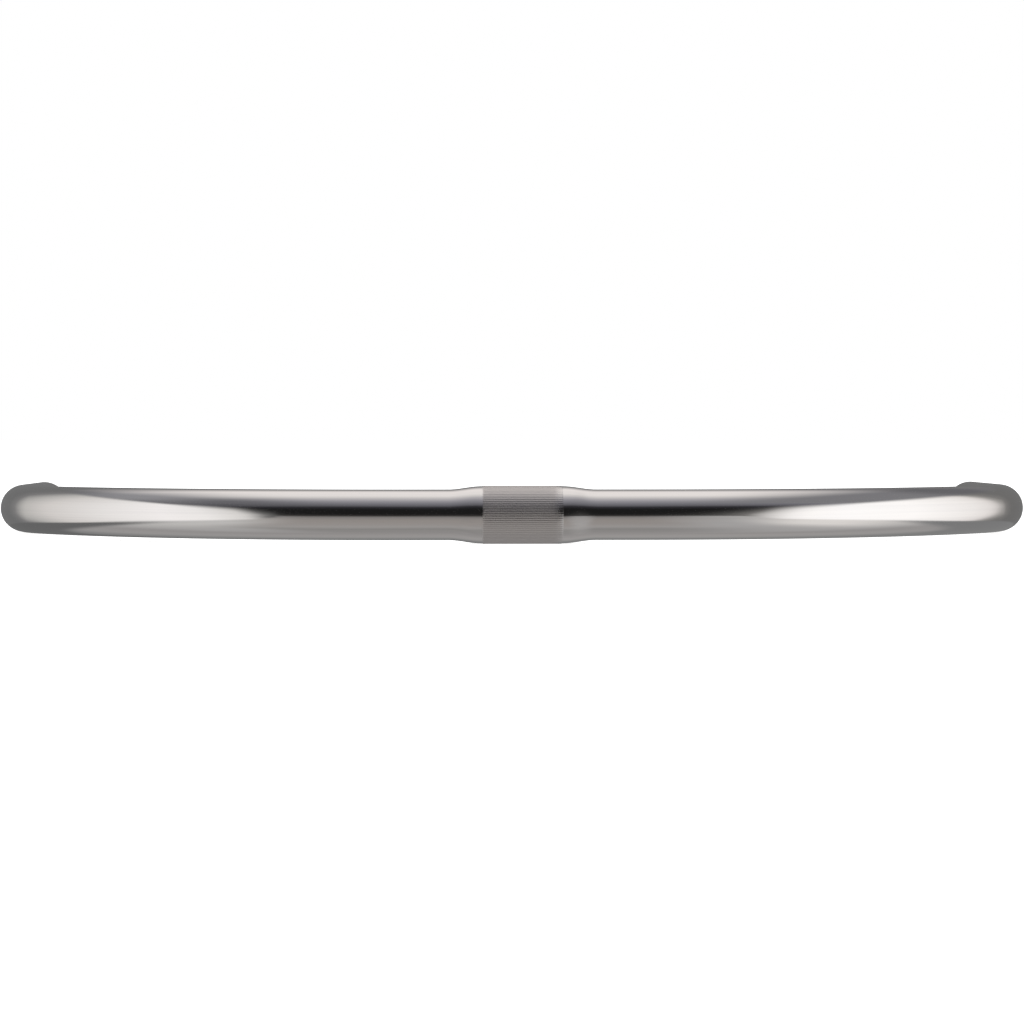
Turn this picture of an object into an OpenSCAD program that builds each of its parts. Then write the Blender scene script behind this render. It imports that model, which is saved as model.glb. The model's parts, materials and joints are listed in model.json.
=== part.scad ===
// Swept-back bicycle handlebar: one bent aluminium tube, closed at each
// end by an expanding plug that a screw tightens.
// Millimetres. Origin: middle of the stem clamp seat. +X runs along the
// clamp seat to the rider's right hand, +Y points to the rider, +Z is up.

/* [Tube] */
// Outside diameter of the arms and grips
tube_d = 22.2; // [21.5:0.1:24]
// Bore of the arms and grips
tube_bore_d = 18; // [17.5:0.1:18.5]

/* [Clamp seat] */
// Diameter of the bulged middle that the stem grips
clamp_d = 25.4; // [25:0.1:26]
// Width of the bulged middle
clamp_w = 35; // [30:1:45]
// Length of the smooth taper on each side of it
taper_l = 15; // [10:1:16]

/* [Bends] */
// Length of straight tube from the middle to the first bend
straight_l = 50; // [40:1:90]
// Centre-line radius of the long first bend
sweep_r = 210; // [150:5:250]
// Centre-line radius of the tighter bend into the grip
grip_bend_r = 80; // [55:5:90]
// Length of the straight grip
grip_l = 70; // [55:1:120]

/* [End plugs] */
// Diameter of the plug's cap
cap_d = 22; // [20:0.1:22.2]
// Thickness of the cap outside the tube, at its middle
cap_t = 3.2; // [3:0.1:4]
// Length of the cap's spigot inside the tube
spigot_l = 5; // [4:0.5:6]
// Length of the split sleeve that grips the bore
sleeve_l = 20; // [18:1:22]
// How far the wedge backs off when the screw is undone
wedge_travel = 4; // [1:0.5:4]

/* [Plug screw] */
// Nominal diameter of the thread
screw_d = 5; // [4.5:0.1:5]
// Pitch of the thread
screw_pitch = 0.8; // [0.7:0.05:1]
// Width of the hexagon socket across its flats
hex_af = 3; // [2.5:0.1:3.2]

/* [Hidden] */
$fn = 96;

LEFT = -1;
RIGHT = 1;
SILVER = [0.80, 0.80, 0.82];
STEEL = [0.55, 0.56, 0.58];
BRASS = [0.72, 0.60, 0.34];
NYLON = [0.12, 0.12, 0.13];

// Tube
tube_r = tube_d / 2;
bore_r = tube_bore_d / 2;
clamp_r = clamp_d / 2;
clamp_bore_r = clamp_r - (tube_r - bore_r);
taper_steps = 12;
// The first bend turns the tube until it runs 3 across for 4 back, and the
// second bend turns it on until it runs straight back. Each direction here
// points from a bend's centre to its tube.
FRONT = [0, -1];
CORNER = [0.8, -0.6];
SIDE = [1, 0];
sweep_centre = [straight_l, sweep_r];
grip_bend_centre = sweep_centre + (sweep_r - grip_bend_r) * CORNER;
grip_x = grip_bend_centre.x + grip_bend_r;
end_y = grip_bend_centre.y + grip_l;

// Plug: distances along its axis are from the end of the tube, positive
// outwards, so what is inside the tube is negative
slide_gap = 0.05;
spigot_gap = 0.1;
dome_h = 1;
dome_r = (pow(cap_d / 2, 2) + pow(dome_h, 2)) / (2 * dome_h);
cap_rim_t = cap_t - dome_h;
rim_chamfer = 0.5;
sleeve_r = bore_r - slide_gap;
sleeve_out = -spigot_l;
sleeve_in = sleeve_out - sleeve_l;
groove_pitch = 3;
groove_depth = 0.35;
groove_w = 1.2;
slot_w = 1.6;
// Length of unslotted ring that holds the sleeve's four fingers together
slot_stop = 5;

// Wedge, and the conical seat in the sleeve that it spreads
seat_setback = 6;
seat_out = sleeve_out - seat_setback;
seat_r_out = 3.6;
seat_r_in = 7.2;
seat_slope = (seat_r_in - seat_r_out) / (seat_out - sleeve_in);
// Empty length of seat outside the wedge, and length of wedge left bare at
// the sleeve's inner end
seat_spare = 4;
wedge_bare = 2;
wedge_out = seat_out - seat_spare;
wedge_in = sleeve_in - wedge_bare;
wedge_chamfer = 0.6;
// Keys that ride in the slots
key_w = slot_w - 2 * spigot_gap;
key_recess = 0.4;
key_r = sleeve_r - key_recess;
key_setback = 1.8;
key_in = wedge_in + wedge_chamfer;
key_out = wedge_out - key_setback;

// Screw, with a countersunk head twice as wide as its thread
screw_r = screw_d / 2;
shank_gap = 0.3;
thread_depth = 0.54 * screw_pitch;
head_r = screw_d;
head_rim_t = 0.3;
head_recess = 0.4;
head_top = cap_t - head_recess;
head_edge = head_top - head_rim_t;
hex_depth = 2;
// Length of thread left past the wedge when it is backed off
tip_spare = 1;
screw_tip = wedge_in - wedge_travel - tip_spare;
thread_l = 18;
thread_turns = floor(thread_l / screw_pitch);

// How far a cutting shape runs past what it cuts
overcut = 1;

// Radius of the middle at distance x from its centre: r_mid over the
// clamp seat, eased down to r_arm along a half cosine
function ease(t) = (1 + cos(180 * t)) / 2;
function middle_profile(r_mid, r_arm) = concat(
    [[r_mid, 0]],
    [for (i = [0:taper_steps])
        let (t = i / taper_steps)
        [r_arm + (r_mid - r_arm) * ease(t), clamp_w / 2 + t * taper_l]],
    [[r_arm, straight_l]]
);
function reversed(list) = [for (i = [len(list) - 1:-1:0]) list[i]];

module ring() {
    difference() {
        circle(r = tube_r);
        circle(r = bore_r);
    }
}

// Half of the straight middle, as a hollow turned shape along +X
module middle_half() {
    rotate([0, 90, 0])
        rotate_extrude()
            polygon(concat(
                middle_profile(clamp_r, tube_r),
                reversed(middle_profile(clamp_bore_r, bore_r))
            ));
}

// The stretch of a bent tube between two directions from its centre
module bend(centre, r, from, to) {
    reach = 2 * r;
    translate([centre.x, centre.y, 0])
        intersection() {
            rotate([0, 0, 180])
                rotate_extrude()
                    translate([r, 0])
                        ring();
            linear_extrude(4 * tube_r, center = true)
                polygon([[0, 0], reach * from, reach * to]);
        }
}

module arm() {
    middle_half();
    bend(sweep_centre, sweep_r, FRONT, CORNER);
    bend(grip_bend_centre, grip_bend_r, CORNER, SIDE);
    translate([grip_x, grip_bend_centre.y, 0])
        rotate([-90, 0, 0])
            linear_extrude(grip_l)
                ring();
}

module bar_tube() {
    color(SILVER) {
        arm();
        mirror([1, 0, 0]) arm();
    }
}

// Puts a plug piece, modelled along +Z, on the end of one grip
module at_end(side) {
    translate([side * grip_x, end_y, 0])
        rotate([-90, 0, 0])
            children();
}

// A hole for the screw's shank with a 90 degree countersink for its head
module screw_hole(top) {
    sink_r = head_r + slide_gap;
    translate([0, 0, sleeve_in])
        cylinder(r = screw_r + shank_gap, h = top - sleeve_in);
    translate([0, 0, head_edge - sink_r])
        cylinder(r1 = 0, r2 = sink_r, h = sink_r);
    translate([0, 0, head_edge])
        cylinder(r = sink_r, h = cap_t);
}

module plug_cap() {
    color(SILVER)
        difference() {
            union() {
                intersection() {
                    union() {
                        cylinder(d = cap_d, h = cap_rim_t - rim_chamfer);
                        translate([0, 0, cap_rim_t - rim_chamfer])
                            cylinder(r1 = cap_d / 2,
                                     r2 = cap_d / 2 - cap_t,
                                     h = cap_t);
                    }
                    translate([0, 0, cap_t - dome_r])
                        sphere(r = dome_r);
                }
                translate([0, 0, -spigot_l])
                    cylinder(r = bore_r - spigot_gap, h = spigot_l);
            }
            screw_hole(cap_t);
        }
}

module sleeve_grooves() {
    for (z = [sleeve_in + groove_pitch:groove_pitch:sleeve_out - groove_pitch])
        translate([0, 0, z])
            difference() {
                cylinder(r = sleeve_r + overcut, h = groove_w, center = true);
                cylinder(r = sleeve_r - groove_depth, h = 2 * groove_w, center = true);
            }
}

module plug_expander() {
    color(NYLON)
        difference() {
            translate([0, 0, sleeve_in])
                cylinder(r = sleeve_r, h = sleeve_l);
            sleeve_grooves();
            screw_hole(sleeve_out + overcut);
            translate([0, 0, sleeve_in])
                cylinder(r1 = seat_r_in, r2 = seat_r_out, h = seat_out - sleeve_in);
            // Crossed slots split the sleeve into four fingers
            for (turn = [0, 90])
                rotate([0, 0, turn])
                    translate([-bore_r, -slot_w / 2, sleeve_in - overcut])
                        cube([2 * bore_r, slot_w, sleeve_l - slot_stop + overcut]);
        }
}

// Radius of the wedge's cone at a place along the axis
function wedge_r(z) = seat_r_out + seat_slope * (seat_out - z) - slide_gap;

module plug_wedge() {
    color(BRASS)
        difference() {
            union() {
                rotate_extrude()
                    polygon([
                        [0, wedge_out],
                        [wedge_r(wedge_out), wedge_out],
                        [wedge_r(key_in), key_in],
                        [wedge_r(wedge_in) - wedge_chamfer, wedge_in],
                        [0, wedge_in],
                    ]);
                // The keys stop the wedge turning with the screw
                intersection() {
                    for (turn = [0, 90])
                        rotate([0, 0, turn])
                            translate([-key_r, -key_w / 2, key_in])
                                cube([2 * key_r, key_w, key_out - key_in]);
                    translate([0, 0, wedge_in])
                        cylinder(r = key_r, h = wedge_out - wedge_in);
                }
            }
            translate([0, 0, wedge_in - overcut])
                cylinder(r = screw_r + slide_gap, h = wedge_out - wedge_in + 2 * overcut);
        }
}

// Outline of the shank: rings of thread below a plain neck
thread_profile = [
    for (i = [0:thread_turns - 1])
        let (z = screw_tip + thread_depth + i * screw_pitch)
        each [[screw_r - thread_depth, z], [screw_r, z + screw_pitch / 2]]
];

module plug_screw() {
    color(STEEL)
        difference() {
            rotate_extrude()
                polygon(concat(
                    [[0, screw_tip], [screw_r - 2 * thread_depth, screw_tip]],
                    thread_profile,
                    [
                        [screw_r, head_edge - head_r + screw_r],
                        [head_r, head_edge],
                        [head_r, head_top],
                        [0, head_top],
                    ]
                ));
            translate([0, 0, head_top - hex_depth])
                cylinder(d = hex_af / cos(30), h = hex_depth + overcut, $fn = 6);
        }
}

bar_tube();
at_end(LEFT) plug_cap();  // left_plug_cap
at_end(LEFT) plug_expander();  // left_plug_expander
at_end(LEFT) plug_wedge();  // left_plug_wedge
at_end(LEFT) plug_screw();  // left_plug_screw
at_end(RIGHT) plug_cap();  // right_plug_cap
at_end(RIGHT) plug_expander();  // right_plug_expander
at_end(RIGHT) plug_wedge();  // right_plug_wedge
at_end(RIGHT) plug_screw();  // right_plug_screw
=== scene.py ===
import json
import math

import bmesh
import bpy
from mathutils import Matrix, Vector


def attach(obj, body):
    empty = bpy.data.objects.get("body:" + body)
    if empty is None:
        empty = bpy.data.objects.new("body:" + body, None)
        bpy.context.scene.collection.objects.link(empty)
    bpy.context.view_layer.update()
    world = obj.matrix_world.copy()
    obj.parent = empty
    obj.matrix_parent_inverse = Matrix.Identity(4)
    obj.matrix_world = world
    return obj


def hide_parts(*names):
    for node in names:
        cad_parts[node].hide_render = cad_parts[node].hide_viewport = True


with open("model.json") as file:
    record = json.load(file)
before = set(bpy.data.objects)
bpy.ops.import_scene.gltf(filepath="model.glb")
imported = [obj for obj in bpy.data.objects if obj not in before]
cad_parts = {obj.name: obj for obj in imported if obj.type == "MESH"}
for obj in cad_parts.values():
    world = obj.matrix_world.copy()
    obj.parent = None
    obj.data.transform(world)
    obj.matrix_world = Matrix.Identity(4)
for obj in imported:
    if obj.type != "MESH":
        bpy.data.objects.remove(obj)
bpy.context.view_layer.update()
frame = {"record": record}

MM = 0.001
QUARTER = math.pi / 2
DEGREES = 180 / math.pi
mounts = {m["name"]: m for m in frame["record"]["mounts"]}


def mount_size(name):
    """A round mount's radius and length, in metres."""
    dims = mounts[name]["dims"]
    return dims["r_mm"] * MM, dims["length_mm"] * MM


# ---------------------------------------------------------------- sizes
CLAMP_R, CLAMP_W = mount_size("stem_clamp")
TUBE_R, GRIP_L = mount_size("right_grip")
GRIP_X = mounts["right_grip"]["pos_m"][0]
END_Y = mounts["right_grip"]["pos_m"][1] + GRIP_L / 2

WALL = 2.1 * MM
BORE_R = TUBE_R - WALL
TUBE_CHAMFER = 0.3 * MM
TAPER_L = 15 * MM
STRAIGHT_L = 50 * MM             # from the middle to where the tube starts to bend
SWEEP_R = 210 * MM
GRIP_BEND_R = 80 * MM
CORNER = math.asin(0.8)          # the tube's direction between its two bends
SWEEP_L = SWEEP_R * CORNER
GRIP_BEND_L = GRIP_BEND_R * (QUARTER - CORNER)
SWEEP_CENTRE = (STRAIGHT_L, SWEEP_R)
GRIP_BEND_CENTRE = (
    SWEEP_CENTRE[0] + (SWEEP_R - GRIP_BEND_R) * math.sin(CORNER),
    SWEEP_CENTRE[1] - (SWEEP_R - GRIP_BEND_R) * math.cos(CORNER),
)
HALF_L = STRAIGHT_L + SWEEP_L + GRIP_BEND_L + END_Y - GRIP_BEND_CENTRE[1]

ROUND = 144                      # points round the tube
TAPER_RINGS = 24                 # rings of points along each stretch of the tube
STRAIGHT_RINGS = 4
SWEEP_RINGS = 48
GRIP_BEND_RINGS = 36
GRIP_RINGS = 8

GROOVES = 80                     # straight knurling on the clamp seat
GROOVE_POINTS = 9
GROOVE_DEPTH = 0.085 * MM
VALLEY_POWER = 1.4               # above 1, the valleys are narrower than the crests
SEAT_EDGE = 0.16 * MM            # how far the knurl stands above the taper
SEAT_BEVEL = 0.55 * MM
WORN_L = 3.5 * MM                # the knurl is rubbed smoother towards its right end

# ---------------------------------------------------------------- camera
LENS = 104.08
SENSOR_W = 36
CAMERA_AT = Vector((-0.0415, -1.2938, 0.0360))
CAMERA_TURN = math.radians(1.64)
CAMERA_DOWN = math.radians(1.54)

camera_data = bpy.data.cameras.new("camera")
camera_data.lens = LENS
camera_data.sensor_width = SENSOR_W
camera = bpy.data.objects.new("camera", camera_data)
camera.location = CAMERA_AT
camera.rotation_euler = (QUARTER - CAMERA_DOWN, 0, -CAMERA_TURN)
bpy.context.collection.objects.link(camera)
bpy.context.scene.camera = camera
bpy.context.scene.view_settings.view_transform = "Standard"

# ---------------------------------------------------------------- node helpers
MIX_A, MIX_B, MIX_RESULT = 6, 7, 2   # a Mix node's colour sockets


class Graph:
    """Short calls for building a node tree."""

    def __init__(self, tree):
        self.tree = tree

    def add(self, kind, settings=None, **inputs):
        """A new node, with settings by property name and inputs by socket name."""
        node = self.tree.nodes.new(kind)
        for key, value in (settings or {}).items():
            setattr(node, key, value)
        for key, value in inputs.items():
            self.put(node.inputs[key.replace("_", " ")], value)
        return node

    def put(self, socket, value):
        """Links another node's output to the socket, or sets the socket's number."""
        if isinstance(value, bpy.types.NodeSocket):
            self.tree.links.new(value, socket)
        else:
            socket.default_value = value

    def calc(self, op, *values):
        node = self.add("ShaderNodeMath", {"operation": op})
        for socket, value in zip(node.inputs, values):
            self.put(socket, value)
        return node.outputs[0]

    def product(self, first, *others):
        for other in others:
            first = self.calc("MULTIPLY", first, other)
        return first

    def weighted(self, a, share_a, b, share_b):
        """Sum of two values, each times its share."""
        return self.calc(
            "ADD", self.calc("MULTIPLY", a, share_a), self.calc("MULTIPLY", b, share_b)
        )

    def ease(self, value, low, high, out_low=0.0, out_high=1.0):
        """Smooth step from out_low to out_high as value goes from low to high."""
        node = self.add("ShaderNodeMapRange", {"interpolation_type": "SMOOTHSTEP"})
        for socket, number in zip(node.inputs, (value, low, high, out_low, out_high)):
            self.put(socket, number)
        return node.outputs[0]

    def mix(self, factor, a, b, blend="MIX"):
        node = self.add("ShaderNodeMix", {"data_type": "RGBA", "blend_type": blend})
        self.put(node.inputs["Factor"], factor)
        self.put(node.inputs[MIX_A], a)
        self.put(node.inputs[MIX_B], b)
        return node.outputs[MIX_RESULT]

    def ramp(self, factor, stops):
        node = self.add("ShaderNodeValToRGB", Fac=factor)
        items = node.color_ramp.elements
        while len(items) < len(stops):
            items.new(0.5)
        for item, (position, colour) in zip(items, stops):
            item.position = position
            item.color = colour
        return node.outputs[0]

    def noise(self, vector, scale, detail=2.0, rough=0.5):
        node = self.add(
            "ShaderNodeTexNoise", Vector=vector, Scale=scale, Detail=detail, Roughness=rough
        )
        return node.outputs[0]

    def stretch(self, vector, scale):
        """vector with each axis multiplied."""
        node = self.add("ShaderNodeVectorMath", {"operation": "MULTIPLY"})
        self.put(node.inputs[0], vector)
        self.put(node.inputs[1], scale)
        return node.outputs[0]

    def attribute(self, name, output="Fac"):
        return self.add("ShaderNodeAttribute", {"attribute_name": name}).outputs[output]

    def object_place(self):
        return self.add("ShaderNodeTexCoord").outputs["Object"]


def linear(level):
    """Linear light of a screen level from 0 to 255."""
    v = level / 255
    return v / 12.92 if v <= 0.04045 else ((v + 0.055) / 1.055) ** 2.4


def tint(level, red=0.0, blue=0.0):
    """That screen level of grey, with its red and blue moved by a few levels."""
    return (linear(level + red), linear(level), linear(level + blue), 1)


# ---------------------------------------------------------------- studio
# The tube mirrors a soft-lit room, worked out in the world shader from the direction
# of a reflection: x to the camera's right, y away from the camera, z up. Only
# reflections see it. A pair of numbers is where something starts and ends to fade
# in, or where marked so, its values to the left of the bar and to the right.
# Heights, and distances along the bar's Y, are over the distance aside.
# This isn't a plain studio, and its numbers weren't designed. The levels, tints and
# edges began as a scratch program's averages of the photograph's reflections, by the
# direction mirrored, rounded and typed in. They were then adjusted, to bring the
# render closer to the photograph. They fit that one photograph's light only.
REFLECTANCE = 0.80               # of the tube, so the levels below are as seen in it
WHITE = (1, 1, 1, 1)
SOFT_LIGHT = 1.0                 # what lights everything, evenly from all round
BACKDROP = 1.0                   # what the camera sees behind the bar
TINY = 0.001                     # keeps the divisions finite

# A tint is a screen level, and by how much its red and its blue differ from it. A row
# is an angle in degrees and a tint.
# What the bar's middle mirrors, by the angle about its axis: 0 is the dark
# room behind the camera, 90 overhead, 180 behind the bar, -90 the table.
ROOM = (
    (-180, 96, 0, 0), (-158, 106, 0, 0), (-146, 118, 0, 0), (-134, 130, 1, 0),
    (-122, 146, 2, -1), (-108, 146, 3, -1), (-90, 138, 3, -1), (-66, 131, 2, -2),
    (-54, 146, 3, -2), (-40, 140, 5, -3), (-22, 135, 5, -4), (-12, 126, 4, -2),
    (-7, 104, 3, -2), (-3.5, 48, 2, -1), (4, 26, 1, 0), (25, 26, 0, 0), (35, 46, 1, 4),
    (42, 92, 1, 5), (52, 116, 1, 6), (64, 140, 2, 5), (76, 172, 3, 2),
    (86, 200, 4, -2), (96, 219, 5, -3), (124, 222, 6, -3), (138, 178, 4, -2),
    (152, 118, 1, 0), (180, 96, 0, 0),
)
SOFTBOX_TILT = 0.25              # the softbox overhead tilts this much per unit sideways

# The ceiling is by the angle from the camera, 180 being straight behind the bar.
# It is darker low down, in front on the left and behind on the right.
CEILING_SPREAD = (1.2, 1.4)      # left, right: how soon it starts off the middle
CEILING_FADE = (0.27, 0.86)
CEILING_RISE = (0.3, 0.5)        # by z
CEILING_HIGH = (0.6, 0.76)       # by z, from its low part to its high part
LEFT_CEILING_LOW = ((50, 80, 1, 4), (80, 108, 1, 3))
LEFT_CEILING_HIGH = ((60, 98, 1, 4), (110, 138, 1, 3))
RIGHT_CEILING_LOW = ((115, 120, 1, 3), (140, 98, 1, 3))
RIGHT_CEILING_HIGH = (118, 1, 3)

# The table, below the bar, is lit by the white panels: a glow on all of it, and
# a stronger sheen in front of them.
TABLE_FADE = (-0.02, -0.12)      # by z
GLOW = (159, 2, -1)
GLOW_OFF_MIDDLE = (0.1, 0.6)
GLOW_STARTS = (45, 2)            # left, right
GLOW_FULL = (75, 32)             # left, right
GLOW_REAR = (122, 90)
LEFT_SHEEN = (184, 2, -2)
RIGHT_SHEEN = (213, 4, -4)
SHEEN_OFF_MIDDLE = (0.55, 1.15)
SHEEN_FRONT = (26, 54)
SHEEN_REAR = (112, 60)

# The white panels at each side at eye level, by the angle from the camera.
LEFT_WALL = (
    (0, 26, 0, 0), (18, 29, 0, 0), (30, 42, 0, 0), (35.5, 98, 1, -1), (41, 208, 3, -3),
    (52, 230, 3, -2), (64, 234, 4, -1), (80, 224, 3, -2), (104, 200, 4, -3),
    (117, 172, 2, -3), (128, 118, 1, 0), (138, 106, 0, 0), (180, 106, 0, 0),
)
RIGHT_WALL = (
    (0, 30, 0, 0), (9, 36, 0, 0), (17, 50, 1, -1), (24, 72, 1, -1), (31, 104, 2, -2),
    (37, 196, 3, -2), (43, 236, 3, -2), (48, 247, 3, -2), (58, 250, 2, -1), (80, 249, 3, -2),
    (102, 232, 4, -3), (109.5, 220, 5, -3), (113, 202, 5, -3), (116.5, 152, 3, -3),
    (121, 118, 2, -2), (129, 105, 1, -1), (180, 105, 0, 0),
)
WALL_STARTS = (33, 5)            # left, right: degrees from the camera
WALL_LEAN = 10                   # degrees that the rear edge leans back per unit of height
LEAN_LIMIT = 2                   # the height above which it leans no more

# Their feet, which rise towards the camera, and the blur above the foot's line.
WALL_FOOT = (-0.62, -0.52)       # left, right
FOOT_LIFT = 0.3
FOOT_LIFT_AT = (42, 28)
FOOT_BLUR_FROM = -0.05
FOOT_BLUR_FRONT = (0.16, 0.10)   # left, right
FOOT_BLUR_REAR = 0.03
FOOT_BLUR_AT = (70, 110)

# Their tops, which slope down towards the camera, and the blur at the top's line.
# Past each panel's near corner the top blurs more, and on the right it drops further.
WALL_TOP = 0.845
WALL_SLOPE = (0.33, 0.10)        # left, right
NEAR_CORNER = -0.3               # its distance along
CORNER_DROP = (0.0, 0.07)        # left, right
TOP_BLUR = 0.08
TOP_BLUR_GROWTH = 0.4
TOP_END = (-0.07, -0.16)         # left, right
TOP_END_GROWTH = 0.25

# The dark gap between each panel's foot and the table, wider towards the back.
LEFT_GAP = 98
RIGHT_GAP = 120
GAP_DEPTH = (0.17, 0.1)          # left, right: beside the bar
GAP_GROWTH = (0.35, 0.5)         # left, right: for each unit further back
GAP_FADE = (-0.12, 0.08)
GAP_STARTS = (58, 66)            # left, right
GAP_FULL = (94, 104)             # left, right
GAP_BELOW = (0.0, -0.1)          # by z

world = bpy.data.worlds.new("studio")
bpy.context.scene.world = world
world.use_nodes = True
world.node_tree.nodes.clear()
world.cycles.sampling_method = "NONE"   # even light needs no sampling as a lamp
g = Graph(world.node_tree)
direction = g.add("ShaderNodeTexCoord").outputs["Generated"]
dx, dy, dz = g.add("ShaderNodeSeparateXYZ", Vector=direction).outputs
front = g.calc("MULTIPLY", dy, -1)
aside = g.calc("MAXIMUM", g.calc("ABSOLUTE", dx), TINY)
steep = g.calc("MAXIMUM", g.calc("ABSOLUTE", dz), TINY)
rightward = g.calc("GREATER_THAN", dx, 0.0)
side = g.calc("MULTIPLY", g.calc("ARCTAN2", aside, front), DEGREES)
off_middle = g.calc("DIVIDE", aside, steep)
height = g.calc("DIVIDE", dz, aside)
along = g.calc("DIVIDE", dy, aside)


def by_side(left, right):
    """One number to the left of the bar and another to the right."""
    return g.calc("ADD", left, g.calc("MULTIPLY", rightward, right - left))


def spread(rows, span):
    """Ramp stops from rows of (angle, level, red, blue), over a span that ends at 180."""
    return [((angle - 180 + span) / span, tint(*level)) for angle, *level in rows]


def grey_between(first, last):
    """A grey that changes with the angle from the camera, from one row to another."""
    amount = g.ease(side, first[0], last[0])
    return g.mix(amount, tint(*first[1:]), tint(*last[1:]))


def with_ceiling(room):
    off = g.calc("MULTIPLY", off_middle, by_side(*CEILING_SPREAD))
    ceiling = g.product(g.ease(off, *CEILING_FADE), g.ease(dz, *CEILING_RISE))
    high_up = g.ease(dz, *CEILING_HIGH)
    left = g.mix(high_up, grey_between(*LEFT_CEILING_LOW), grey_between(*LEFT_CEILING_HIGH))
    right = g.mix(high_up, grey_between(*RIGHT_CEILING_LOW), tint(*RIGHT_CEILING_HIGH))
    return g.mix(ceiling, room, g.mix(rightward, left, right), "DARKEN")


def with_lit_table(room):
    below = g.ease(dz, *TABLE_FADE)
    glow = g.product(
        g.ease(off_middle, *GLOW_OFF_MIDDLE),
        g.ease(side, *GLOW_REAR),
        g.ease(side, by_side(*GLOW_STARTS), by_side(*GLOW_FULL)),
        below,
    )
    sheen = g.product(
        g.ease(off_middle, *SHEEN_OFF_MIDDLE),
        g.ease(side, *SHEEN_FRONT),
        g.ease(side, *SHEEN_REAR),
        below,
    )
    room = g.mix(glow, room, tint(*GLOW))
    return g.mix(sheen, room, g.mix(rightward, tint(*LEFT_SHEEN), tint(*RIGHT_SHEEN)))


def with_panels(room):
    """The white panels at the sides, and the dark gaps under them."""
    over_foot = g.calc("SUBTRACT", height, by_side(*WALL_FOOT))
    lift = g.ease(side, *FOOT_LIFT_AT, 0.0, FOOT_LIFT)
    over_foot = g.calc("SUBTRACT", over_foot, lift)
    foot_blur = g.ease(side, *FOOT_BLUR_AT, by_side(*FOOT_BLUR_FRONT), FOOT_BLUR_REAR)

    growth = g.calc("MULTIPLY", along, by_side(*GAP_GROWTH))
    gap_depth = g.calc("ADD", growth, by_side(*GAP_DEPTH))
    gap = g.product(
        g.ease(g.calc("ADD", over_foot, gap_depth), *GAP_FADE),
        g.ease(side, by_side(*GAP_STARTS), by_side(*GAP_FULL)),
        g.ease(dz, *GAP_BELOW),
    )
    room = g.mix(gap, room, g.mix(rightward, tint(LEFT_GAP), tint(RIGHT_GAP)))

    leaning = g.calc("MINIMUM", g.calc("MAXIMUM", height, 0), LEAN_LIMIT)
    upright = g.calc("SUBTRACT", side, g.calc("MULTIPLY", leaning, WALL_LEAN))
    share = g.calc("DIVIDE", upright, 180)
    walls = g.mix(
        rightward, g.ramp(share, spread(LEFT_WALL, 180)), g.ramp(share, spread(RIGHT_WALL, 180))
    )

    corner = g.calc("MAXIMUM", g.calc("SUBTRACT", NEAR_CORNER, along), 0)
    top = g.calc("ADD", g.calc("MULTIPLY", along, by_side(*WALL_SLOPE)), WALL_TOP)
    top = g.calc("SUBTRACT", top, g.calc("MULTIPLY", corner, by_side(*CORNER_DROP)))
    top_blur = g.calc("ADD", g.calc("MULTIPLY", corner, TOP_BLUR_GROWTH), TOP_BLUR)
    end_growth = g.calc("MULTIPLY", corner, TOP_END_GROWTH)
    top_end = g.calc("SUBTRACT", by_side(*TOP_END), end_growth)
    on_wall = g.product(
        g.ease(g.calc("SUBTRACT", height, top), top_blur, top_end),
        g.ease(over_foot, FOOT_BLUR_FROM, foot_blur),
        g.calc("GREATER_THAN", side, by_side(*WALL_STARTS)),
    )
    return g.mix(on_wall, room, walls)


def light_of(colour, strength):
    node = g.add("ShaderNodeBackground", Color=colour, Strength=strength)
    return node.outputs[0]


def either(factor, a, b):
    node = g.add("ShaderNodeMixShader")
    for socket, value in zip(node.inputs, (factor, a, b)):
        g.put(socket, value)
    return node.outputs[0]


tilted = g.calc("ADD", front, g.calc("MULTIPLY", aside, SOFTBOX_TILT))
about = g.calc("MULTIPLY", g.calc("ARCTAN2", dz, tilted), DEGREES)
middle = g.ramp(g.calc("ADD", g.calc("DIVIDE", about, 360), 0.5), spread(ROOM, 360))
mirrored = with_panels(with_lit_table(with_ceiling(middle)))

rays = g.add("ShaderNodeLightPath").outputs
light = either(
    rays["Is Glossy Ray"], light_of(WHITE, SOFT_LIGHT), light_of(mirrored, 1 / REFLECTANCE)
)
surface = either(rays["Is Camera Ray"], light, light_of(WHITE, BACKDROP))
g.add("ShaderNodeOutputWorld", Surface=surface)


# ---------------------------------------------------------------- mesh helpers
def finish_mesh(name, bm, sharp=35):
    """A bmesh as a mesh: outward faces, smooth shading, edges sharp above that angle."""
    bmesh.ops.recalc_face_normals(bm, faces=bm.faces)
    for face in bm.faces:
        face.smooth = True
    mesh = bpy.data.meshes.new(name)
    bm.to_mesh(mesh)
    bm.free()
    mesh.set_sharp_from_angle(angle=math.radians(sharp))
    return mesh


def place(name, mesh, finish, matrix=None):
    """A new piece. Two pieces may share a mesh, and so its material."""
    piece = bpy.data.objects.new(name, mesh)
    bpy.context.collection.objects.link(piece)
    if matrix is not None:
        piece.matrix_world = matrix
    if not mesh.materials:
        mesh.materials.append(finish)
    return piece


def skin(bm, lower, upper):
    """Faces between two closed rings of vertices, one with a multiple of the other's points."""
    if len(lower) < len(upper):
        lower, upper = upper, lower
    ratio = len(lower) // len(upper)
    count = len(upper)
    for i in range(count):
        near = [lower[(i * ratio + k) % len(lower)] for k in range(ratio + 1)]
        bm.faces.new([upper[(i + 1) % count], upper[i]] + near)


def close_end(bm, ring, centre):
    """Triangles from a closed ring of vertices to one vertex."""
    for i, vertex in enumerate(ring):
        bm.faces.new((vertex, ring[(i + 1) % len(ring)], centre))


def stations(start, length, count):
    """Evenly spaced numbers over a length, without its start and with its end."""
    return [start + length * k / count for k in range(1, count + 1)]


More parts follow.
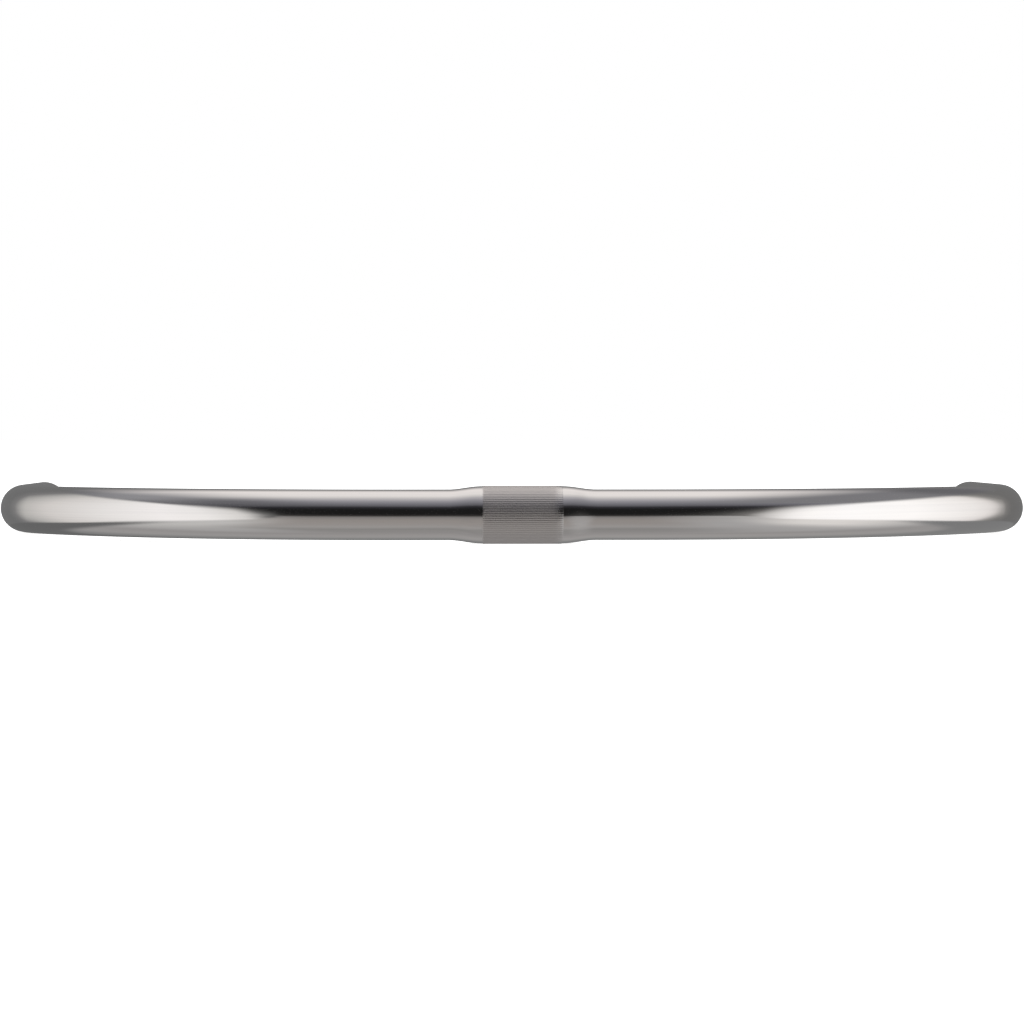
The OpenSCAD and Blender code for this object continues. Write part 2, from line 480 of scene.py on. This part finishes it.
def round_angles(count):
    """Angles of evenly spaced points round a circle."""
    return [2 * math.pi * k / count for k in range(count)]


# ---------------------------------------------------------------- tube
def half_path(s):
    """Centre (x, y) and direction angle at distance s from the middle."""
    if s <= STRAIGHT_L:
        return s, 0.0, 0.0
    s -= STRAIGHT_L
    if s <= SWEEP_L:
        t = s / SWEEP_R
        return (
            SWEEP_CENTRE[0] + SWEEP_R * math.sin(t),
            SWEEP_CENTRE[1] - SWEEP_R * math.cos(t),
            t,
        )
    s -= SWEEP_L
    if s <= GRIP_BEND_L:
        t = CORNER + s / GRIP_BEND_R
        return (
            GRIP_BEND_CENTRE[0] + GRIP_BEND_R * math.sin(t),
            GRIP_BEND_CENTRE[1] - GRIP_BEND_R * math.cos(t),
            t,
        )
    s -= GRIP_BEND_L
    return GRIP_X, GRIP_BEND_CENTRE[1] + s, QUARTER


def path(s):
    """Centre and outward normal, in the bar's plane, at distance s from the middle."""
    x, y, t = half_path(abs(s))
    way = 1 if s >= 0 else -1
    return Vector((way * x, y, 0)), Vector((way * math.sin(t), -math.cos(t), 0))


def swell(s):
    """Share of the middle's extra radius left at distance s from the middle."""
    t = (abs(s) - CLAMP_W / 2) / TAPER_L
    return (1 + math.cos(math.pi * min(max(t, 0), 1))) / 2


def outer_r(s):
    return TUBE_R + (CLAMP_R - SEAT_EDGE - TUBE_R) * swell(s)


def inner_r(s):
    return BORE_R + (CLAMP_R - TUBE_R) * swell(s)


def groove_share(k):
    """Share of the groove's depth at point k round the seat."""
    t = (k % GROOVE_POINTS) / GROOVE_POINTS
    return (0.5 + 0.5 * math.cos(2 * math.pi * t)) ** VALLEY_POWER


def make_tube():
    """The tube, with the numbers its material needs stored on its points."""
    bm = bmesh.new()
    unbent = bm.verts.layers.float_vector.new("unbent")
    cut = bm.verts.layers.float.new("groove")
    satin = bm.verts.layers.float.new("satin")

    def ring(s, r, points=ROUND, depth=0.0, satin_share=0.0):
        centre, out = path(s)
        made = []
        for k, a in enumerate(round_angles(points)):
            share = groove_share(k) if depth else 0.0
            reach = r - depth * share
            v = bm.verts.new(
                centre + reach * (math.cos(a) * out + math.sin(a) * Vector((0, 0, 1)))
            )
            v[unbent] = (s, reach * math.cos(a), reach * math.sin(a))
            v[cut] = share * depth / GROOVE_DEPTH
            v[satin] = satin_share
            made.append(v)
        return made

    half = CLAMP_W / 2
    grip_start = STRAIGHT_L + SWEEP_L + GRIP_BEND_L
    along_half = [half] + stations(half, TAPER_L, TAPER_RINGS)
    along_half += stations(half + TAPER_L, STRAIGHT_L - half - TAPER_L, STRAIGHT_RINGS)
    along_half += stations(STRAIGHT_L, SWEEP_L, SWEEP_RINGS)
    along_half += stations(STRAIGHT_L + SWEEP_L, GRIP_BEND_L, GRIP_BEND_RINGS)
    along_half += stations(grip_start, HALF_L - TUBE_CHAMFER - grip_start, GRIP_RINGS)
    outside = [(s, outer_r(s)) for s in along_half] + [(HALF_L, TUBE_R - TUBE_CHAMFER)]
    inside = [(s, inner_r(s)) for s in along_half]
    inside += [(HALF_L, BORE_R + TUBE_CHAMFER)]

    # distance, radius, groove depth and satin share of each ring of the seat
    foot_r = CLAMP_R - SEAT_EDGE
    worn_depth = GROOVE_DEPTH / 2
    seat = [(-half, foot_r, 0.0, 0.4), (-half + SEAT_BEVEL, CLAMP_R, GROOVE_DEPTH, 1.0)]
    seat += [(half * k / 6, CLAMP_R, GROOVE_DEPTH, 1.0) for k in range(-5, 5)]
    seat += [(half - WORN_L, CLAMP_R, GROOVE_DEPTH, 0.9)]
    seat += [(half - SEAT_BEVEL, CLAMP_R, worn_depth, 0.2), (half, foot_r, 0.0, 0.1)]

    rings = [ring(-s, r) for s, r in outside[::-1]]
    for s, r, depth, satin_share in seat:
        rings.append(ring(s, r, GROOVES * GROOVE_POINTS, depth, satin_share))
    rings += [ring(s, r) for s, r in outside]
    # the bore is left as it was drawn, unpolished
    rings += [ring(s, r, satin_share=1.0) for s, r in inside[::-1]]
    rings += [ring(-s, r, satin_share=1.0) for s, r in inside]
    for a, b in zip(rings, rings[1:] + rings[:1]):
        skin(bm, a, b)
    # the seat's end rings lie on the plain rings beside them
    bmesh.ops.remove_doubles(bm, verts=bm.verts, dist=0.0001 * MM)
    return finish_mesh("tube", bm)


# ---------------------------------------------------------------- plug pieces
# Each is modelled about local Z, which points out of the tube from its end.
CAP_R = 11 * MM
CAP_T = 3.2 * MM
DOME_H = 1 * MM
SPIGOT_L = 5 * MM
SLEEVE_L = 20 * MM
SLEEVE_IN = -SPIGOT_L - SLEEVE_L
SLOT_STOP = -SPIGOT_L - 5 * MM   # outwards of it the sleeve's fingers are joined
SLOT_HALF_W = 0.8 * MM
KEY_HALF_W = 0.7 * MM
SLEEVE_GROOVES = 5
SLEEVE_GROOVE_PITCH = 3 * MM
SEAT_OUT = -11 * MM              # the sleeve's conical seat, down to its inner end
SEAT_R_OUT = 3.6 * MM
SEAT_R_IN = 7.2 * MM
WEDGE_OUT = -15 * MM
WEDGE_IN = SLEEVE_IN - 2 * MM
SCREW_R = 2.5 * MM
SCREW_TIP = WEDGE_IN - 5 * MM
HOLE_R = SCREW_R + 0.3 * MM      # the screw's clearance hole in the cap and sleeve
THREAD_L = 18 * MM
PITCH = 0.8 * MM
THREAD_DEPTH = 0.54 * PITCH
HEAD_R = 5 * MM
HEAD_TOP = CAP_T - 0.4 * MM
HEAD_EDGE = HEAD_TOP - 0.3 * MM  # the countersunk cone ends here
SOCKET_W = 3 * MM                # across the flats
SOCKET_DEPTH = 2 * MM
GAP = 0.05 * MM                  # between pieces that turn or slide in one another
CAP_POINTS = 128
SCREW_POINTS = 48
SECTOR_STEPS = (20, 4)           # faces across a wide sector and across a narrow one


def turned(bm, outline, points):
    """Spins an outline of (r, z) about Z, and returns its rings of vertices."""
    rings = [
        [bm.verts.new((r * math.cos(a), r * math.sin(a), z)) for a in round_angles(points)]
        for r, z in outline
    ]
    for a, b in zip(rings, rings[1:]):
        skin(bm, a, b)
    return rings


def arc(centre, r, start, end, steps):
    """Points (r, z) on an arc, angles in degrees from the +r direction."""
    return [
        (centre[0] + r * math.cos(math.radians(a)), centre[1] + r * math.sin(math.radians(a)))
        for a in (start + (end - start) * k / steps for k in range(steps + 1))
    ]


def make_cap():
    """Domed cap with a countersunk hole and a short spigot."""
    bm = bmesh.new()
    sink = HEAD_R + GAP
    spigot_r = BORE_R - 0.1 * MM
    spigot_chamfer = 0.3 * MM
    relief_r = 0.3 * MM
    relief_z = -0.4 * MM
    shoulder = 0.2 * MM
    rim = CAP_T - DOME_H
    fillet = 0.45 * MM
    fillet_end = 62              # degrees, where the rim's fillet runs into the dome
    lip = 0.18 * MM              # the rounded edge of the countersink
    dome_r = (CAP_R ** 2 + DOME_H ** 2) / (2 * DOME_H)
    dome_start = CAP_R - fillet * 1.05
    dome_steps = 10

    def dome(r):
        return CAP_T - dome_r + math.sqrt(dome_r ** 2 - r ** 2)

    outline = [(HOLE_R, -SPIGOT_L), (spigot_r - spigot_chamfer, -SPIGOT_L)]
    outline += [(spigot_r, -SPIGOT_L + spigot_chamfer)]
    # a shallow relief groove where the spigot meets the cap's shoulder
    outline += arc((spigot_r, relief_z), relief_r, 270, 180, steps=4)
    outline += [(spigot_r - relief_r, 0), (CAP_R - shoulder, 0), (CAP_R, shoulder)]
    outline += arc((CAP_R - fillet, rim - fillet), fillet, 0, fillet_end, steps=6)
    dome_w = sink + lip - dome_start
    outline += [(r, dome(r)) for r in stations(dome_start, dome_w, dome_steps)]
    outline += [(sink + lip * 0.3, dome(sink) - lip * 0.25), (sink, dome(sink) - lip)]
    outline += [(sink, HEAD_EDGE), (HOLE_R, HEAD_EDGE - (sink - HOLE_R))]
    rings = turned(bm, outline, CAP_POINTS)
    skin(bm, rings[-1], rings[0])
    return finish_mesh("cap", bm, sharp=28)


def parallel_sectors(name, body, other, shared, half_w, sharp):
    """A turned shape with four parallel-sided slots or keys.

    body and other are closed outlines of (r, z) for the four wide sectors and
    for the four narrow ones between them. Both start with the same points,
    `shared` of them, and the rest of the two make each flat wall between them.
    """
    bm = bmesh.new()
    walls = [other[shared - 1]] + body[shared:] + [body[0]] + other[shared:][::-1]

    def at(r, z, a):
        return bm.verts.new((r * math.cos(a), r * math.sin(a), z))

    for quarter in range(4):
        base = quarter * QUARTER
        for outline, count, wide in zip((body, other), SECTOR_STEPS, (True, False)):
            columns = []
            for k in range(count + 1):
                column = []
                for r, z in outline:
                    edge = math.asin(half_w / r)
                    low, high = (edge, QUARTER - edge) if wide else (-edge, edge)
                    column.append(at(r, z, base + low + (high - low) * k / count))
                columns.append(column)
            for a, b in zip(columns, columns[1:]):
                for i in range(len(outline)):
                    j = (i + 1) % len(outline)
                    bm.faces.new((a[i], a[j], b[j], b[i]))
        for far in (False, True):
            wall = []
            for r, z in walls:
                edge = math.asin(half_w / r)
                wall.append(at(r, z, base + (QUARTER - edge if far else edge)))
            bm.faces.new(wall)
    # neighbouring sectors and walls have points in the same places
    bmesh.ops.remove_doubles(bm, verts=bm.verts, dist=0.001 * MM)
    return finish_mesh(name, bm, sharp)


def make_expander():
    """Sleeve with ring grooves outside, a conical seat inside, and four slots."""
    r = BORE_R - GAP
    top = -SPIGOT_L
    edge = 0.25 * MM
    flare = 0.1 * MM
    flare_h = 0.3 * MM
    # one side of a groove in mm, as depths at distances from the groove's middle
    half_groove = ((0, 0.62), (0.1, 0.55), (0.33, 0.4), (0.35, 0))

    def groove_above(z):
        return [(r - depth * MM, z + away * MM) for depth, away in half_groove]

    def groove_below(z):
        return [(r - depth * MM, z - away * MM) for depth, away in half_groove[-2::-1]]

    # the slots stop in the middle of the outermost groove
    shared = [(HOLE_R, SLOT_STOP), (HOLE_R, top), (r - edge, top), (r, top - edge)]
    shared += groove_above(SLOT_STOP)
    body = shared + groove_below(SLOT_STOP)
    for k in range(1, SLEEVE_GROOVES):
        z = SLOT_STOP - SLEEVE_GROOVE_PITCH * k
        body += groove_above(z) + groove_below(z)
    body += [(r, SLEEVE_IN + edge), (r - edge, SLEEVE_IN), (SEAT_R_IN + flare, SLEEVE_IN)]
    body += [(SEAT_R_IN - flare, SLEEVE_IN + flare_h)]
    body += [(SEAT_R_OUT, SEAT_OUT), (HOLE_R, SEAT_OUT)]
    return parallel_sectors("expander", body, shared, len(shared), SLOT_HALF_W, sharp=32)


def make_wedge():
    """Cone nut whose four keys ride in the sleeve's slots. Its hole is drawn plain."""
    hole = SCREW_R + GAP
    slope = (SEAT_R_IN - SEAT_R_OUT) / (SEAT_OUT - SLEEVE_IN)
    key_r = BORE_R - 0.45 * MM
    key_in = WEDGE_IN + 0.6 * MM
    key_out = WEDGE_OUT - 1.8 * MM
    key_edge = 0.2 * MM
    mouth = 0.35 * MM
    inner_edge = 0.6 * MM
    outer_edge = 0.25 * MM

    def cone(z):
        return SEAT_R_OUT + slope * (SEAT_OUT - z) - GAP

    shared = [(cone(key_in), key_in), (cone(WEDGE_IN) - inner_edge, WEDGE_IN)]
    shared += [(hole + mouth, WEDGE_IN), (hole, WEDGE_IN + mouth)]
    shared += [(hole, WEDGE_OUT - mouth), (hole + mouth, WEDGE_OUT)]
    shared += [(cone(WEDGE_OUT) - outer_edge, WEDGE_OUT)]
    shared += [(cone(WEDGE_OUT - outer_edge), WEDGE_OUT - outer_edge), (cone(key_out), key_out)]
    body = shared + [(cone(z), z) for z in stations(key_out, key_in - key_out, 4)[:-1]]
    key = shared + [(key_r - key_edge, key_out), (key_r, key_out - key_edge)]
    key += [(key_r, key_in + key_edge), (key_r - key_edge, key_in)]
    return parallel_sectors("wedge", body, key, len(shared), KEY_HALF_W, sharp=25)


def hexagon_r(a, across):
    """Radius at angle a of a hexagon of that size across its flats."""
    return across / 2 / math.cos((a + math.pi / 6) % (math.pi / 3) - math.pi / 6)


def make_screw():
    """Countersunk screw with a helical thread and a hexagon socket."""
    bm = bmesh.new()
    thread_top = SCREW_TIP + THREAD_L
    root = SCREW_R - THREAD_DEPTH
    run_in, run_out = 0.9 * MM, 1.2 * MM
    flank_slope, crest_flat = 2.6, 0.16
    tip_share = 0.55             # of the screw's radius, at its very tip
    tip_chamfer = 1.1 * MM
    steps_per_turn = 10
    rim, rim_h, rim_step = 0.15 * MM, 0.12 * MM, 0.02 * MM
    mouth_r = SOCKET_W * 0.61    # a little wider than the hexagon's corners
    mouth_h = 0.2 * MM
    floor_r = SOCKET_W * 0.42
    floor_z = HEAD_TOP - SOCKET_DEPTH
    floor_step, drill_point = 0.05 * MM, 0.5 * MM

    def ring(z, r_at):
        return [
            bm.verts.new((r_at(a) * math.cos(a), r_at(a) * math.sin(a), z))
            for a in round_angles(SCREW_POINTS)
        ]

    def plain(r):
        return lambda a: r

    def hexagon(a):
        return hexagon_r(a, SOCKET_W)

    def thread(z):
        """Right-hand thread, run out at both ends."""
        fade = min((z - SCREW_TIP) / run_in, (thread_top - z) / run_out, 1)
        chamfer = min(1, tip_share + (1 - tip_share) * (z - SCREW_TIP) / tip_chamfer)

        def r_at(a):
            phase = (z / PITCH - a / (2 * math.pi)) % 1
            flank = min(max(flank_slope * abs(phase - 0.5) - crest_flat, 0), 1)
            threaded = root + (SCREW_R - root) * (1 - flank * max(fade, 0))
            return min(threaded, SCREW_R * chamfer)
        return r_at

    levels = round(THREAD_L / PITCH * steps_per_turn)
    rings = [ring(SCREW_TIP, plain(SCREW_R * tip_share))]
    rings += [ring(z, thread(z)) for z in stations(SCREW_TIP, thread_top - SCREW_TIP, levels)]
    rings += [
        ring(HEAD_EDGE - HEAD_R + SCREW_R, plain(SCREW_R)),
        ring(HEAD_EDGE, plain(HEAD_R - rim_step)),
        ring(HEAD_TOP - rim_h, plain(HEAD_R)),
        ring(HEAD_TOP, plain(HEAD_R - rim)),
        ring(HEAD_TOP, plain(mouth_r)),
        ring(HEAD_TOP - mouth_h, hexagon),
        ring(floor_z, hexagon),
        ring(floor_z - floor_step, plain(floor_r)),
    ]
    for a, b in zip(rings, rings[1:]):
        skin(bm, a, b)
    close_end(bm, rings[0], bm.verts.new((0, 0, SCREW_TIP)))
    # the hollow that the drill's point leaves in the socket's floor
    close_end(bm, rings[-1], bm.verts.new((0, 0, floor_z - drill_point)))
    return finish_mesh("screw", bm, sharp=18)


# ---------------------------------------------------------------- materials
WHOLE_NOISE = (0.3, 0.7)         # where nearly all of a noise's values lie
STRONG_NOISE = (0.35, 0.65)      # a little narrower, for more contrast


def material(name, **sockets):
    """A new material, its graph, and its Principled shader with constants set."""
    made = bpy.data.materials.new(name)
    made.use_nodes = True
    graph = Graph(made.node_tree)
    shader = made.node_tree.nodes["Principled BSDF"]
    for key, value in sockets.items():
        shader.inputs[key.replace("_", " ")].default_value = value
    return made, graph, shader


def bump(graph, shader, height, strength, distance):
    node = graph.add("ShaderNodeBump", Strength=strength, Distance=distance, Height=height)
    graph.put(shader.inputs["Normal"], node.outputs[0])


def tube_material():
    """Polished tube, satin where the points say so, darker in the knurl's valleys."""
    dark, light = (0.775, 0.772, 0.775, 1), (0.825, 0.82, 0.815, 1)
    satin_grey, satin_share = (0.60, 0.575, 0.565, 1), 0.5
    valley_grey, valley_share = (0.42, 0.40, 0.395, 1), 0.6
    satin_roughness = 0.33
    made, graph, shader = material("polished_aluminium", Metallic=1.0)
    unbent = graph.attribute("unbent", "Vector")
    cut = graph.attribute("groove")
    satin = graph.attribute("satin")
    # faint lines left along the tube by drawing and polishing
    lines = graph.noise(graph.stretch(unbent, (9, 1500, 1500)), 1.0, detail=3.0, rough=0.6)
    bands = graph.noise(graph.stretch(unbent, (3, 240, 240)), 1.0)
    scuffs = graph.noise(graph.stretch(unbent, (300, 2600, 2600)), 1.0, rough=0.7)
    cloud = graph.noise(unbent, 26, detail=3.0)
    shade = graph.weighted(lines, 0.35, bands, 0.65)
    colour = graph.mix(graph.ease(shade, *STRONG_NOISE), dark, light)
    colour = graph.mix(graph.calc("MULTIPLY", satin, satin_share), colour, satin_grey)
    colour = graph.mix(graph.calc("MULTIPLY", cut, valley_share), colour, valley_grey)
    graph.put(shader.inputs["Base Color"], colour)
    polish = graph.ease(cloud, *WHOLE_NOISE, 0.075, 0.11)
    scuffed = graph.ease(scuffs, 0.5, 0.8, 0.0, 0.03)
    rough = graph.calc("ADD", polish, scuffed)
    rough = graph.calc("ADD", rough, graph.calc("MULTIPLY", satin, satin_roughness))
    graph.put(shader.inputs["Roughness"], rough)
    bump(graph, shader, lines, strength=0.06, distance=0.02 * MM)
    return made


def turned_material(name, colours, roughness, mark_scale, strength):
    """Metal with fine concentric tool marks about local Z.

    colours and roughness each give the value where the wear is least and
    where it is most.
    """
    made, graph, shader = material(name, Metallic=1.0)
    local = graph.object_place()
    x, y, z = graph.add("ShaderNodeSeparateXYZ", Vector=local).outputs
    radius = graph.calc("SQRT", graph.weighted(x, x, y, y))
    where = graph.add("ShaderNodeCombineXYZ", X=radius, Y=z).outputs[0]
    marks = graph.noise(where, mark_scale, detail=3.0, rough=0.65)
    cloud = graph.noise(local, 320, detail=3.0)
    wear = graph.weighted(marks, 0.8, cloud, 0.2)
    colour = graph.mix(graph.ease(wear, *STRONG_NOISE), *colours)
    graph.put(shader.inputs["Base Color"], colour)
    graph.put(shader.inputs["Roughness"], graph.ease(wear, *STRONG_NOISE, *roughness))
    bump(graph, shader, marks, strength, 0.03 * MM)
    return made


def nylon_material():
    """Black nylon with the fine grain of its mould."""
    dark, light = (0.028, 0.028, 0.030, 1), (0.042, 0.042, 0.044, 1)
    made, graph, shader = material("moulded_nylon", Specular_IOR_Level=0.42, Sheen_Weight=0.05)
    local = graph.object_place()
    grain = graph.noise(local, 5200, detail=3.0, rough=0.6)
    cloud = graph.noise(local, 240)
    colour = graph.mix(graph.ease(cloud, *WHOLE_NOISE), dark, light)
    graph.put(shader.inputs["Base Color"], colour)
    graph.put(shader.inputs["Roughness"], graph.ease(grain, *WHOLE_NOISE, 0.46, 0.60))
    bump(graph, shader, grain, strength=0.25, distance=0.03 * MM)
    return made


def paper_material():
    """White paper that is partly lit by itself, so that the floor is pale all over."""
    made, graph, shader = material(
        "lit_paper", Roughness=1.0, Specular_IOR_Level=0.0,
        Emission_Color=WHITE, Emission_Strength=0.7,
    )
    grain = graph.noise(graph.object_place(), 60)
    colour = graph.mix(grain, (0.84, 0.84, 0.84, 1), (0.86, 0.86, 0.86, 1))
    graph.put(shader.inputs["Base Color"], colour)
    return made


TUBE_METAL = tube_material()
CAP_METAL = turned_material(
    "turned_aluminium", ((0.80, 0.80, 0.81, 1), (0.86, 0.86, 0.865, 1)), (0.20, 0.36),
    mark_scale=5000, strength=0.25,
)
BRASS = turned_material(
    "turned_brass", ((0.66, 0.49, 0.23, 1), (0.78, 0.60, 0.30, 1)), (0.22, 0.34),
    mark_scale=6000, strength=0.2,
)
STEEL = turned_material(
    "zinc_steel", ((0.48, 0.48, 0.50, 1), (0.60, 0.60, 0.61, 1)), (0.26, 0.40),
    mark_scale=5000, strength=0.08,
)
NYLON = nylon_material()

# ---------------------------------------------------------------- pieces
tube = place("tube", make_tube(), TUBE_METAL)
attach(tube, "bar")
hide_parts("bar_tube")

PLUG = (
    # piece, mesh, material, body, slot
    ("cap", make_cap(), CAP_METAL, "plug", "cap_metal"),
    ("expander", make_expander(), NYLON, "plug", "expander_nylon"),
    ("wedge", make_wedge(), BRASS, "wedge", "wedge_brass"),
    ("screw", make_screw(), STEEL, "screw", "screw_steel"),
)
for name, way in (("left", -1), ("right", 1)):
    end = Matrix.Translation((way * GRIP_X, END_Y, 0)) @ Matrix.Rotation(-QUARTER, 4, "X")
    for part, mesh, finish, body, slot_name in PLUG:
        piece = place(f"{name}_{part}", mesh, finish, end)
        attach(piece, f"{name}_{body}")
        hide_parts(f"{name}_plug_{part}")

# ---------------------------------------------------------------- floor
FLOOR_SIZE = 30


def make_floor():
    bm = bmesh.new()
    bmesh.ops.create_grid(bm, x_segments=2, y_segments=2, size=FLOOR_SIZE / 2)
    mesh = bpy.data.meshes.new("floor")
    bm.to_mesh(mesh)
    bm.free()
    return mesh


floor = place("floor", make_floor(), paper_material())
floor.location.z = -CLAMP_R
floor.visible_glossy = False
